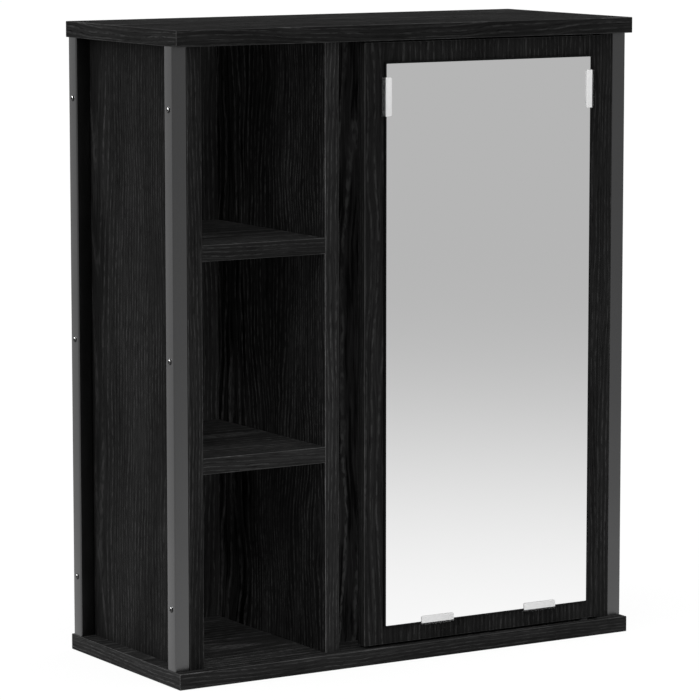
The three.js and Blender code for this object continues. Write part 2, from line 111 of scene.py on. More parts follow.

# Kinds of board face. Figured and flamed oak show the heart's dark flames under a bold grain; broad oak has
# wide rings, and dusky oak is the same with a duller coat. The tones of the kinds are painted light and
# shade: each kind is a lighter or darker copy of the one stained oak, set to the shading that its boards
# show. The light kind of the back panel is painted lighter where it stands in the shade of the bays. The
# divider's figured face is painted far darker, to offset the lights meant for it alone, and its dark flames
# by the heart at its rear are partly grain and partly painted shade.
OAK_FACES = {
    "plain": {"tone": 0.84, "wander": 0.012},
    "light": {"tone": 1.0, "wander": 0.012},
    "figured": {"tone": 0.29, "line": 1.8, "ring_width": 0.0052, "depth": 0.03, "flame": 0.92,
                "wander": 0.035},
    "flamed": {"tone": 0.82, "line": 1.25, "ring_width": 0.005, "depth": 0.03, "flame": 0.75,
               "wander": 0.02},
    "broad": {"tone": 0.93, "line": 1.35, "ring_width": 0.0062, "depth": 0.06, "wander": 0.012},
    "dusky": {"tone": 0.8, "line": 1.35, "ring_width": 0.0062, "depth": 0.06, "gloss": 0.005,
              "wander": 0.012},
}
# Edges, arrises and ends take tones of their own, set to the shading that each shows. The far lighter arris
# tone is a painted highlight, partly edge wear. The lighter end tone is painted light on the ends that
# catch the left light.
OAK_EDGE = {"line": 0.95, "ring_width": 0.004, "flame": 0.0}
OAK_EDGE_TONE = 0.95
OAK_ARRIS_HIGHLIGHT = {"tone": 2.3, "flame": 0.0, "gloss": 0.1}
OAK_END = {"tone": 1.25, "ring_width": 0.004, "flame": 0.0}

# Boards whose edges show all round. The others meet their neighbours at the ends of their run.
FREE_BOARDS = ("top_panel", "bottom_panel", "door_panel", "back_panel")
PLATE_SEATS = {"top_panel": "upper_pivot_plate", "bottom_panel": "lower_pivot_plate"}

POSTS = ("front_left_post", "rear_left_post", "front_right_post", "rear_right_post")

# Screws in millimetres: head radius, head height, shank radius, length
SCREWS = {
    "post": (2.75, 0.95, 1.5, 27),
    "clip": (2.5, 0.75, 1.25, 6),
    "pivot": (2.5, 0.75, 1.25, 10),
    "catch": (2.75, 1, 1.5, 12),
    "strike": (2.5, 1, 1.25, 9),
    "bracket": (3, 1, 1.5, 12),
}

# The mirror clips and the way each one points out from the glass
CLIPS = {"left": (-1, 0, 0), "right": (1, 0, 0), "bottom_left": (0, 0, -1), "bottom_right": (0, 0, -1)}
CLIP_WALL = 1.5 * MM
CLIP_LAP = 6.5 * MM


# Settings that a user would change

class CabinetSizes(bpy.types.PropertyGroup):
    """Sizes of the details that the frame leaves open"""

    board_edge: FloatProperty(
        name="Board Edge", description="Radius of the edges of the boards",
        default=0.6 * MM, min=0.0, unit="LENGTH")
    post_corner: FloatProperty(
        name="Post Corner", description="Radius of the corners of the square posts",
        default=1.5 * MM, min=0.0, unit="LENGTH")
    post_wall: FloatProperty(
        name="Post Wall", description="Wall thickness of the square posts",
        default=1.25 * MM, min=0.0, unit="LENGTH")
    mirror_edge: FloatProperty(
        name="Mirror Edge", description="Width of the ground edge round the mirror",
        default=0.35 * MM, min=0.0, unit="LENGTH")
    # The near-black band round the silvering is painted shade, in place of the dark line round the mirror.
    mirror_shade_band: FloatProperty(
        name="Mirror Shade Band", description="Width of the bare black border round the silvering",
        default=1.1 * MM, min=0.0, unit="LENGTH")
    clip_corner: FloatProperty(
        name="Clip Corner", description="Radius of the corners of the mirror clips",
        default=1.6 * MM, min=0.0, unit="LENGTH")
    recess_depth: FloatProperty(
        name="Recess Depth", description="Depth of the cross recess in the screw heads",
        default=0.8 * MM, min=0.0, unit="LENGTH")
    rounding: IntProperty(
        name="Rounding", description="Number of faces across a rounded edge",
        default=3, min=1, max=8)


class CabinetColours(bpy.types.PropertyGroup):
    """Colours of the finishes"""

    oak_ground: FloatVectorProperty(
        name="Oak Ground", description="Stained oak between the grain lines",
        subtype="COLOR", size=3, min=0.0, max=1.0, default=(0.0098, 0.0098, 0.0098))
    oak_line: FloatVectorProperty(
        name="Oak Line", description="Raised grain lines of the stained oak",
        subtype="COLOR", size=3, min=0.0, max=1.0, default=(0.029, 0.029, 0.029))
    oak_pore: FloatVectorProperty(
        name="Oak Pore", description="Open pores of the stained oak",
        subtype="COLOR", size=3, min=0.0, max=1.0, default=(0.0025, 0.0025, 0.0025))
    post_paint: FloatVectorProperty(
        name="Post Paint", description="Powder coat of the posts",
        subtype="COLOR", size=3, min=0.0, max=1.0, default=(0.113, 0.113, 0.114))
    clip_lip: FloatVectorProperty(
        name="Clip Lip", description="Frosted face of the mirror clips",
        subtype="COLOR", size=3, min=0.0, max=1.0, default=(0.68, 0.68, 0.68))


# Shader building

def put(tree, kind, sources=None, **settings):
    """Adds a node, sets its settings, and feeds its named inputs from sockets or plain values."""
    made = tree.nodes.new(kind)
    for name, value in settings.items():
        setattr(made, name, value)
    for name, source in (sources or {}).items():
        if isinstance(source, bpy.types.NodeSocket):
            tree.links.new(source, made.inputs[name])
        else:
            made.inputs[name].default_value = source
    return made


def math_node(tree, operation, first, second=0.0):
    return put(tree, "ShaderNodeMath", {0: first, 1: second}, operation=operation).outputs[0]


def smooth_step(tree, value, low, high, start=0.0, end=1.0):
    fed = {"Value": value, "From Min": low, "From Max": high, "To Min": start, "To Max": end}
    return put(tree, "ShaderNodeMapRange", fed, interpolation_type="SMOOTHSTEP").outputs["Result"]


def mix_colours(tree, factor, first, second, blend="MIX"):
    fed = {0: factor, 6: first, 7: second}
    return put(tree, "ShaderNodeMix", fed, data_type="RGBA", blend_type=blend).outputs[2]


def stretched_noise(tree, place, scale, detail=2.0, rough=0.5):
    """Noise on a place whose two parts are stretched by their own scales."""
    spread = put(tree, "ShaderNodeVectorMath", {0: place, 1: scale}, operation="MULTIPLY")
    fed = {"Vector": spread.outputs[0], "Scale": 1.0, "Detail": detail, "Roughness": rough}
    return put(tree, "ShaderNodeTexNoise", fed).outputs["Fac"]


def sway(tree, value, place, scale, span):
    """Moves a value up and down by a stretched noise, over the given span."""
    wave = math_node(tree, "SUBTRACT", stretched_noise(tree, place, scale), 0.5)
    return math_node(tree, "ADD", value, math_node(tree, "MULTIPLY", wave, span))


def new_group(name, sockets_in, sockets_out):
    group = bpy.data.node_groups.new(name, "ShaderNodeTree")
    for title, kind, value in sockets_in:
        socket = group.interface.new_socket(title, in_out="INPUT", socket_type=kind)
        if value is not None:
            socket.default_value = value
    for title, kind in sockets_out:
        group.interface.new_socket(title, in_out="OUTPUT", socket_type=kind)
    return group


def oak_grain_group():
    """Oak figure on a map in metres: U across the grain, V along it."""
    name = "Oak Grain"
    if name in bpy.data.node_groups:
        return bpy.data.node_groups[name]
    group = new_group(
        name,
        [("Map", "NodeSocketVector", None),
         ("Ground", "NodeSocketColor", (0.01, 0.01, 0.01, 1)),
         ("Line", "NodeSocketColor", (0.03, 0.03, 0.03, 1)),
         ("Pore", "NodeSocketColor", (0.003, 0.003, 0.003, 1)),
         ("Ring Width", "NodeSocketFloat", 0.0049),
         ("Depth", "NodeSocketFloat", 0.02),
         ("Flame", "NodeSocketFloat", 0.15),
         ("Wander", "NodeSocketFloat", 0.012)],
        [("Colour", "NodeSocketColor"), ("Roughness", "NodeSocketFloat"),
         ("Height", "NodeSocketFloat")])
    start = group.nodes.new("NodeGroupInput")
    place = start.outputs["Map"]
    parts = put(group, "ShaderNodeSeparateXYZ", {0: place})
    across, along = parts.outputs[0], parts.outputs[1]

    # The rings wander sideways, and the board's face cuts them at a depth that changes slowly
    side = sway(group, across, place, (9.0, 2.2, 1.0), 0.03)
    side = sway(group, side, place, (14.0, 6.0, 1.0), start.outputs["Wander"])
    side = sway(group, side, place, (40.0, 14.0, 1.0), 0.004)
    side = sway(group, side, place, (160.0, 60.0, 1.0), 0.0016)
    depth = sway(group, start.outputs["Depth"], place, (0.0, 1.7, 1.0), 0.05)
    reach = math_node(
        group, "SQRT",
        math_node(group, "ADD", math_node(group, "MULTIPLY", side, side),
                  math_node(group, "MULTIPLY", depth, depth)))
    turns = math_node(group, "DIVIDE", reach, start.outputs["Ring Width"])
    turns = sway(group, turns, place, (60.0, 3.0, 1.0), 0.9)
    bent = put(group, "ShaderNodeCombineXYZ", {0: side, 1: along}).outputs[0]
    ring = smooth_step(group, math_node(group, "PINGPONG", turns, 0.5), 0.26, 0.48)

    # The lines come and go, and fine streaks run between them
    fade = stretched_noise(group, bent, (90.0, 12.0, 1.0), 2.0)
    fade = smooth_step(group, fade, 0.34, 0.62, 0.35, 1.0)
    dash = stretched_noise(group, bent, (280.0, 110.0, 1.0), 3.0)
    dash = smooth_step(group, dash, 0.38, 0.6, 0.3, 1.2)
    streak = stretched_noise(group, bent, (520.0, 12.0, 1.0), 3.0, 0.6)
    streak = smooth_step(group, streak, 0.45, 0.75)
    line = math_node(group, "MULTIPLY", ring, math_node(group, "MULTIPLY", fade, dash))
    line = math_node(group, "MAXIMUM", line, math_node(group, "MULTIPLY", streak, 0.5))

    # Short open pores, dark flames beside the heart, and the broad clouding of the stain
    pore = stretched_noise(group, bent, (1500.0, 45.0, 1.0), 1.0)
    pore = smooth_step(group, pore, 0.6, 0.7)
    # On the divider, whose heart lies at its rear, these dark flames are partly grain and partly painted
    # shade.
    flame = stretched_noise(group, bent, (210.0, 9.0, 1.0), 3.0)
    flame = smooth_step(group, flame, 0.49, 0.54)
    near = smooth_step(group, math_node(group, "ABSOLUTE", side), 0.02, 0.07, 1.0, 0.0)
    flame = math_node(group, "MULTIPLY", flame, near)
    flame = math_node(group, "MULTIPLY", flame, start.outputs["Flame"])
    cloud = stretched_noise(group, place, (22.0, 3.5, 1.0), 3.0)
    cloud = smooth_step(group, cloud, 0.3, 0.7, 0.75, 1.25)

    # The flames darken the ground, and the lines cross them
    colour = mix_colours(group, flame, start.outputs["Ground"], (0, 0, 0, 1))
    colour = mix_colours(group, line, colour, start.outputs["Line"])
    colour = mix_colours(group, math_node(group, "MULTIPLY", pore, 0.6), colour, start.outputs["Pore"])
    grey = put(group, "ShaderNodeCombineColor", {0: cloud, 1: cloud, 2: cloud}).outputs[0]
    colour = mix_colours(group, 1.0, colour, grey, "MULTIPLY")
    height = math_node(group, "SUBTRACT", math_node(group, "MULTIPLY", line, 0.6), pore)
    rough = math_node(group, "ADD", 0.62, math_node(group, "MULTIPLY", pore, 0.25))
    rough = math_node(group, "SUBTRACT", rough, math_node(group, "MULTIPLY", line, 0.1))
    end = group.nodes.new("NodeGroupOutput")
    group.links.new(colour, end.inputs["Colour"])
    group.links.new(rough, end.inputs["Roughness"])
    group.links.new(height, end.inputs["Height"])
    return group


def speckle_group():
    """Fine even grain of a coat or a moulded or plated skin, on object coordinates."""
    name = "Fine Speckle"
    if name in bpy.data.node_groups:
        return bpy.data.node_groups[name]
    group = new_group(
        name,
        [("Place", "NodeSocketVector", None),
         ("Size", "NodeSocketFloat", 900.0),
         ("Dark", "NodeSocketColor", (0.1, 0.1, 0.1, 1)),
         ("Light", "NodeSocketColor", (0.2, 0.2, 0.2, 1)),
         ("Smooth", "NodeSocketFloat", 0.3),
         ("Rough", "NodeSocketFloat", 0.5)],
        [("Colour", "NodeSocketColor"), ("Roughness", "NodeSocketFloat"),
         ("Height", "NodeSocketFloat")])
    start = group.nodes.new("NodeGroupInput")
    place = start.outputs["Place"]
    fine = put(group, "ShaderNodeTexNoise",
               {"Vector": place, "Scale": start.outputs["Size"], "Detail": 2.0}).outputs["Fac"]
    broad = put(group, "ShaderNodeTexNoise", {"Vector": place, "Scale": 14.0, "Detail": 4.0}).outputs["Fac"]
    speck = smooth_step(group, fine, 0.3, 0.7)
    colour = mix_colours(group, speck, start.outputs["Dark"], start.outputs["Light"])
    span = math_node(group, "SUBTRACT", start.outputs["Rough"], start.outputs["Smooth"])
    rough = math_node(group, "MULTIPLY", smooth_step(group, broad, 0.3, 0.7), span)
    rough = math_node(group, "ADD", rough, start.outputs["Smooth"])
    end = group.nodes.new("NodeGroupOutput")
    group.links.new(colour, end.inputs["Colour"])
    group.links.new(rough, end.inputs["Roughness"])
    group.links.new(fine, end.inputs["Height"])
    return group


def new_material(name):
    """An empty material with its surface shader."""
    material = bpy.data.materials.new(name)
    material.use_nodes = True
    tree = material.node_tree
    return material, tree, tree.nodes["Principled BSDF"]


def feed(tree, shader, group, bump_height):
    """Joins a finish group's colour, roughness and height to the surface shader."""
    tree.links.new(group.outputs["Colour"], shader.inputs["Base Color"])
    tree.links.new(group.outputs["Roughness"], shader.inputs["Roughness"])
    bump = put(tree, "ShaderNodeBump", {"Height": group.outputs["Height"], "Distance": bump_height})
    tree.links.new(bump.outputs["Normal"], shader.inputs["Normal"])


def shade(colour, factor=1.0):
    """An opaque colour, made lighter or darker by a factor."""
    return (*[min(1.0, channel * factor) for channel in colour], 1.0)


def oak(name, tone=1.0, line=1.0, ring_width=0.0049, depth=0.02, flame=0.15, gloss=0.02,
        wander=0.004):
    """Embossed oak stained black, in one of the tones that the faces and the edges take; these tones are
    partly painted light and shade.
    """
    if name in bpy.data.materials:
        return bpy.data.materials[name]
    colours = bpy.context.scene.cabinet_colours
    material, tree, shader = new_material(name)
    grain = put(tree, "ShaderNodeGroup", {
        "Ground": shade(colours.oak_ground, tone), "Line": shade(colours.oak_line, tone * line),
        "Pore": shade(colours.oak_pore, tone), "Ring Width": ring_width, "Depth": depth,
        "Flame": flame, "Wander": wander}, node_tree=oak_grain_group())
    map_node = put(tree, "ShaderNodeUVMap", uv_map="Grain")
    tree.links.new(map_node.outputs["UV"], grain.inputs["Map"])
    shader.inputs["Specular IOR Level"].default_value = gloss
    feed(tree, shader, grain, 0.12 * MM)
    return material


def speckled(name, dark, light, metallic, smooth, rough, size, bump=0.02 * MM, specular=0.5):
    """A coat, plating or moulding whose colour and roughness vary finely between two values."""
    if name in bpy.data.materials:
        return bpy.data.materials[name]
    material, tree, shader = new_material(name)
    place = tree.nodes.new("ShaderNodeTexCoord")
    finish = put(tree, "ShaderNodeGroup", node_tree=speckle_group())
    tree.links.new(place.outputs["Object"], finish.inputs["Place"])
    values = {"Size": size, "Dark": shade(dark), "Light": shade(light), "Smooth": smooth, "Rough": rough}
    for title, value in values.items():
        finish.inputs[title].default_value = value
    shader.inputs["Metallic"].default_value = metallic
    shader.inputs["Specular IOR Level"].default_value = specular
    feed(tree, shader, finish, bump)
    return material


def post_paint():
    paint = bpy.context.scene.cabinet_colours.post_paint
    return speckled("Post Paint", shade(paint, 0.93)[:3], shade(paint, 1.07)[:3],
                    metallic=1.0, smooth=0.3, rough=0.36, size=1400.0)


def black_zinc():
    return speckled("Black Zinc", (0.03, 0.03, 0.03), (0.05, 0.05, 0.05),
                    metallic=1.0, smooth=0.18, rough=0.26, size=2200.0)


def black_coat():
    return speckled("Black Coat", (0.015, 0.015, 0.015), (0.022, 0.022, 0.022),
                    metallic=0.0, smooth=0.4, rough=0.55, size=2200.0, specular=0.1)


def zinc():
    return speckled("Bright Zinc", (0.52, 0.53, 0.54), (0.66, 0.67, 0.68),
                    metallic=1.0, smooth=0.25, rough=0.45, size=700.0)


def nylon():
    return speckled("Black Nylon", (0.014, 0.014, 0.015), (0.024, 0.024, 0.025),
                    metallic=0.0, smooth=0.4, rough=0.55, size=600.0)


def ferrite():
    return speckled("Ferrite", (0.03, 0.03, 0.032), (0.06, 0.06, 0.062),
                    metallic=0.0, smooth=0.6, rough=0.8, size=1800.0)


def silvered_glass():
    """Bright silvering with a faint haze."""
    name = "Mirror Silver"
    if name in bpy.data.materials:
        return bpy.data.materials[name]
    material, tree, shader = new_material(name)
    place = tree.nodes.new("ShaderNodeTexCoord")
    haze = put(tree, "ShaderNodeTexNoise",
               {"Vector": place.outputs["Object"], "Scale": 6.0, "Detail": 3.0}).outputs["Fac"]
    rough = smooth_step(tree, haze, 0.35, 0.75, 0.004, 0.012)
    tree.links.new(rough, shader.inputs["Roughness"])
    shader.inputs["Base Color"].default_value = (0.97, 0.97, 0.97, 1)
    shader.inputs["Metallic"].default_value = 1.0
    return material


# Near-black glass for the mirror's edges and the band round its silvering: painted shade.
def mirror_edge_shade():
    return speckled("Mirror Edge", (0.002, 0.0022, 0.0022), (0.004, 0.0045, 0.0045),
                    metallic=0.0, smooth=0.3, rough=0.5, size=1500.0, specular=0.1)


def clip_plastic():
    """Clear plastic of the clips' walls."""
    name = "Clip Wall"
    if name in bpy.data.materials:
        return bpy.data.materials[name]
    material, tree, shader = new_material(name)
    place = tree.nodes.new("ShaderNodeTexCoord")
    cloud = put(tree, "ShaderNodeTexNoise",
                {"Vector": place.outputs["Object"], "Scale": 260.0, "Detail": 2.0}).outputs["Fac"]
    tree.links.new(smooth_step(tree, cloud, 0.3, 0.7, 0.05, 0.12), shader.inputs["Roughness"])
    bump = put(tree, "ShaderNodeBump", {"Height": cloud, "Distance": 0.01 * MM})
    tree.links.new(bump.outputs["Normal"], shader.inputs["Normal"])
    shader.inputs["Base Color"].default_value = (0.8, 0.81, 0.81, 1.0)
    shader.inputs["Transmission Weight"].default_value = 0.96
    shader.inputs["IOR"].default_value = 1.12
    return material


def clip_frost():
    """Frosted face of the clips."""
    lip = bpy.context.scene.cabinet_colours.clip_lip
    return speckled("Clip Lip", shade(lip, 0.97)[:3], shade(lip, 1.03)[:3],
                    metallic=0.0, smooth=0.3, rough=0.42, size=800.0, bump=0.01 * MM)


# Modelling helpers

def start_fresh():
    """Leaves edit mode and deselects everything, so that an operator acts on the new piece only."""
    if bpy.context.object and bpy.context.object.mode != "OBJECT":
        bpy.ops.object.mode_set(mode="OBJECT")
    bpy.ops.object.select_all(action="DESELECT")


def pick(piece):
    start_fresh()
    piece.select_set(True)
    bpy.context.view_layer.objects.active = piece


def settle(piece):
    """Puts the piece's place and size into its mesh."""
    pick(piece)
    bpy.ops.object.transform_apply(location=True, rotation=True, scale=True)


def add_block(name, low, high):
    """A block between two corners."""
    start_fresh()
    low, high = Vector(low), Vector(high)
    bpy.ops.mesh.primitive_cube_add(size=1.0, location=(low + high) / 2)
    piece = bpy.context.object
    piece.name = name
    piece.data.name = name
    piece.scale = high - low
    settle(piece)
    return piece


def choose(piece, kind, test):
    """Selects in edit mode the faces or edges that pass the test."""
    pick(piece)
    bpy.ops.object.mode_set(mode="EDIT")
    bpy.ops.mesh.select_mode(type=kind)
    bpy.ops.mesh.select_all(action="DESELECT")
    shape = bmesh.from_edit_mesh(piece.data)
    for part in (shape.faces if kind == "FACE" else shape.edges):
        part.select_set(test(part))
    bmesh.update_edit_mesh(piece.data)


def choose_all(piece):
    """Enters edit mode with the whole piece selected."""
    pick(piece)
    bpy.ops.object.mode_set(mode="EDIT")
    bpy.ops.mesh.select_all(action="SELECT")


def leave_edit():
    bpy.ops.object.mode_set(mode="OBJECT")


def split(piece, place, normal):
    """Cuts the piece's faces along a plane and keeps both sides."""
    choose_all(piece)
    bpy.ops.mesh.bisect(plane_co=place, plane_no=normal)
    leave_edit()


def round_edges(piece, radius, segments, test=lambda edge: True):
    """Bevels the edges that pass the test, and leaves the old faces flat."""
    choose(piece, "EDGE", test)
    bpy.ops.mesh.bevel(offset=radius, segments=segments, profile=0.5, affect="EDGES")
    leave_edit()


def smooth(piece, degrees=35):
    pick(piece)
    bpy.ops.object.shade_smooth_by_angle(angle=math.radians(degrees))


def carve(piece, cutter):
    """Cuts the cutter's shape out of the piece and removes the cutter."""
    pick(piece)
    bpy.ops.object.modifier_add(type="BOOLEAN")
    modifier = piece.modifiers[-1]
    modifier.operation = "DIFFERENCE"
    modifier.solver = "EXACT"
    modifier.object = cutter
    bpy.ops.object.modifier_apply(modifier=modifier.name)
    bpy.data.objects.remove(cutter)


def copy_of(piece, name):
    """A copy with a mesh of its own."""
    pick(piece)
    bpy.ops.object.duplicate(linked=False)
    twin = bpy.context.object
    twin.name = name
    twin.data.name = name
    return twin


def body_of(node):
    for body, members in frame["record"]["behaviour"]["bodies"].items():
        if node in members:
            return body
    raise ValueError(f"no body holds {node}")


def hang(piece, node):
    """Makes a finished piece stand for its CAD node, on the same body."""
    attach(piece, body_of(node))
    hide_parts(node)


def paint(piece, *materials):
    piece.data.materials.clear()
    for material in materials:
        piece.data.materials.append(material)


def main_axis(direction):
    sizes = [abs(part) for part in direction]
    return sizes.index(max(sizes))


def thin_axis(size):
    return min(range(3), key=lambda axis: size[axis])


def edge_axis(edge):
    return main_axis(edge.verts[0].co - edge.verts[1].co)


# Boards

def lay_grain(piece, run, heart, seed):
    """Maps each face in metres: U across its grain from the heart, V along it."""
    mesh = piece.data
    low = Vector([min(v.co[i] for v in mesh.vertices) for i in range(3)])
    high = Vector([max(v.co[i] for v in mesh.vertices) for i in range(3)])
    middle, size = (low + high) / 2, high - low
    while mesh.uv_layers:
        mesh.uv_layers.remove(mesh.uv_layers[0])
    layer = mesh.uv_layers.new(name="Grain")
    thickness = thin_axis(size)
    off_centre, shift = 0.2, 3.0 * seed
    for face in mesh.polygons:
        flat = [axis for axis in range(3) if axis != main_axis(face.normal)]
        along = run if run in flat else max(flat, key=lambda axis: size[axis])
        across = flat[0] if flat[1] == along else flat[1]
        off_heart = off_centre if across == thickness else heart
        for corner in face.loop_indices:
            point = mesh.vertices[mesh.loops[corner].vertex_index].co
            layer.data[corner].uv = (point[across] - middle[across] - off_heart, point[along] + shift)


def finish_board(piece, node):
    """Gives faces, banded edges and arrises their own tones of oak, set to the shading that each shows; the
    arrises' light tone is a painted highlight, partly edge wear.
    """
    low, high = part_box(node)
    thickness = thin_axis(high - low)
    settings = BOARDS[node]
    lay_grain(piece, settings["run"], settings["heart"], settings["seed"])
    kind, edge_tone = settings["kind"], settings.get("edge_tone", OAK_EDGE_TONE)
    paint(piece,
          oak(f"Black Oak {kind.title()}", **OAK_FACES[kind]),
          oak(f"Black Oak Edge {edge_tone}", edge_tone, **OAK_EDGE),
          oak("Black Oak Arris", **OAK_ARRIS_HIGHLIGHT),
          oak("Black Oak End", **OAK_END))
    edge, arris, end = 1, 2, 3
    for face in piece.data.polygons:
        facing = main_axis(face.normal)
        if abs(face.normal[facing]) < 0.999:
            face.material_index = arris
        elif facing != thickness:
            face.material_index = end if facing == settings["run"] else edge
    smooth(piece)
    hang(piece, node)


def add_board(node, radius):
    """A board with its exposed edges rounded."""
    low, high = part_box(node)
    piece = add_block(f"oak_{node}", low, high)
    free, run = node in FREE_BOARDS, BOARDS[node]["run"]
    round_edges(piece, radius, bpy.context.scene.cabinet_sizes.rounding,
                lambda edge: free or edge_axis(edge) == run)
    return piece


def let_in(board, node):
    """Cuts the seat of a flush pivot plate into a board."""
    low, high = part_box(node)
    gap, plate = 0.3 * MM, 2 * MM
    room = Vector((gap, gap, 0))
    if node.startswith("lower"):
        high.z = low.z + plate + MM
    else:
        low.z = high.z - plate - MM
    carve(board, add_block("seat", low - room, high + room))


def drill(board, place, direction, radius, depth):
    """Bores a round hole that starts at a point."""
    start_fresh()
    turn = UP.rotation_difference(Vector(direction))
    bpy.ops.mesh.primitive_cylinder_add(
        vertices=32, radius=radius, depth=2 * depth, location=place, rotation=turn.to_euler())
    cutter = bpy.context.object
    settle(cutter)
    carve(board, cutter)


class CABINET_OT_boards(bpy.types.Operator):
    """Make the boards of the carcass"""

    bl_idname = "cabinet.boards"
    bl_label = "Carcass Boards"

    def execute(self, context):
        edge = context.scene.cabinet_sizes.board_edge
        for node in BOARDS:
            if node in ("door_panel", "back_panel"):
                continue
            board = add_board(node, edge)
            if node in PLATE_SEATS:
                let_in(board, PLATE_SEATS[node])
            finish_board(board, node)
        return {"FINISHED"}


class CABINET_OT_back(bpy.types.Operator):
    """Make the back panel with its two wall screw holes"""

    bl_idname = "cabinet.back"
    bl_label = "Back Panel"

    def execute(self, context):
        radius, hole, below = 0.25 * MM, 3 * MM, 28 * MM
        board = add_board("back_panel", radius)
        low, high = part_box("back_panel")
        for side in ("left", "right"):
            inner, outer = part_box(f"{side}_hanging_bracket")
            place = ((inner.x + outer.x) / 2, (low.y + high.y) / 2, outer.z - below)
            drill(board, place, (0, 1, 0), hole, high.y - low.y)
        finish_board(board, "back_panel")
        return {"FINISHED"}


# Posts and their screws

def is_upright(edge):
    first, second = (vertex.co for vertex in edge.verts)
    return abs((first - second).normalized().z) > 0.99


class CABINET_OT_posts(bpy.types.Operator):
    """Make the four square posts"""

    bl_idname = "cabinet.posts"
    bl_label = "Posts"

    def execute(self, context):
        sizes = context.scene.cabinet_sizes
        for node in POSTS:
            post = add_block(f"tube_{node}", *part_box(node))
            round_edges(post, sizes.post_corner, 6, is_upright)
            choose(post, "FACE", lambda face: abs(face.normal.z) > 0.9)
            bpy.ops.mesh.delete(type="FACE")
            leave_edit()
            bpy.ops.object.modifier_add(type="SOLIDIFY")
            wall = post.modifiers[-1]
            wall.thickness = sizes.post_wall
            wall.offset = -1.0
            bpy.ops.object.modifier_apply(modifier=wall.name)
            paint(post, post_paint())
            smooth(post)
            hang(post, node)
        return {"FINISHED"}


# Part of a screw head's height that stands upright below the dome
RIM = 0.35


def add_screw(name, head, height, shank, length, recess):
    """A low domed screw with a cross recess: its head's underside at the origin, its shank along -Z."""
    start_fresh()
    rim = RIM * height
    bpy.ops.mesh.primitive_cylinder_add(vertices=32, radius=head, depth=rim, location=(0, 0, rim / 2))
    screw = bpy.context.object
    screw.name = name
    screw.data.name = name
    settle(screw)
    crown(screw, height)
    draw_shank(screw, head, shank, length)
    reach, width = 0.55 * head, 0.11 * head
    for turn in (0, math.pi / 2):
        blade = add_block("recess", (-reach, -width, height - recess), (reach, width, height + MM))
        pick(blade)
        bpy.ops.transform.rotate(value=turn, orient_axis="Z", center_override=(0, 0, 0))
        settle(blade)
        carve(screw, blade)
    return screw


def crown(screw, height):
    """Raises the head's top face in narrowing rings to a shallow dome."""
    rings = [(0.965, 0.6), (0.86, 0.8), (0.7, 0.92), (0.45, 0.98), (0.15, 1.0)]
    reached, level = 1.0, RIM * height
    choose(screw, "FACE", lambda face: face.normal.z > 0.9)
    for width, rise in rings:
        bpy.ops.mesh.extrude_region_move(TRANSFORM_OT_translate={"value": (0, 0, rise * height - level)})
        bpy.ops.transform.resize(value=(width / reached, width / reached, 1), center_override=(0, 0, 0))
        reached, level = width, rise * height
    leave_edit()


def draw_shank(screw, head, shank, length):
    """Insets the head's underside and draws the shank and its point out of it."""
    tip, point = 2 * shank, 0.12
    choose(screw, "FACE", lambda face: face.normal.z < -0.9)
    bpy.ops.mesh.inset(thickness=head - shank)
    bpy.ops.mesh.extrude_region_move(TRANSFORM_OT_translate={"value": (0, 0, tip - length)})
    bpy.ops.mesh.extrude_region_move(TRANSFORM_OT_translate={"value": (0, 0, -tip)})
    bpy.ops.transform.resize(value=(point, point, 1), center_override=(0, 0, -length))
    leave_edit()


def set_screws(nodes, inward, kind, material):
    """Places a copy of one screw at each node. Inward is the way the shanks point."""
    head, height, shank, length = (size * MM for size in SCREWS[kind])
    recess = min(bpy.context.scene.cabinet_sizes.recess_depth, 0.8 * height)
    pattern = add_screw("screw_pattern", head, height, shank, length, recess)
    axis = main_axis(inward)
    first_degrees, next_degrees = 25, 53
    for count, node in enumerate(nodes):
        low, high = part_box(node)
        seat = (low + high) / 2
        seat[axis] = low[axis] + height if inward[axis] > 0 else high[axis] - height
        screw = copy_of(pattern, f"fixed_{node}")
        spin = Matrix.Rotation(math.radians(first_degrees + next_degrees * count), 4, "Z")
        turn = (-UP).rotation_difference(Vector(inward)).to_matrix().to_4x4()
        screw.data.transform(Matrix.Translation(seat) @ turn @ spin)
        paint(screw, material)
        smooth(screw)
        hang(screw, node)
    bpy.data.objects.remove(pattern)


class CABINET_OT_post_screws(bpy.types.Operator):
    """Set the screws that hold the posts to the side panels"""

    bl_idname = "cabinet.post_screws"
    bl_label = "Post Screws"

    def execute(self, context):
        for side, inward in (("left", (1, 0, 0)), ("right", (-1, 0, 0))):
            nodes = [f"{end}_{side}_post_screw_{n}" for end in ("front", "rear") for n in (1, 2, 3)]
            set_screws(nodes, inward, "post", black_zinc())
        return {"FINISHED"}


# Door

class CABINET_OT_door(bpy.types.Operator):
    """Make the door board with the seats of the mirror clips"""

    bl_idname = "cabinet.door"
    bl_label = "Door Board"

    def execute(self, context):
        board = add_board("door_panel", context.scene.cabinet_sizes.board_edge)
        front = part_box("door_panel")[0].y
        gap = 0.3 * MM
        for clip in CLIPS:
            low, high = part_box(f"{clip}_mirror_clip")
            room = Vector((gap, 0, gap))
            cutter_low = Vector((low.x, front - MM, low.z)) - room
            carve(board, add_block("seat", cutter_low, high + room))
        finish_board(board, "door_panel")
        return {"FINISHED"}


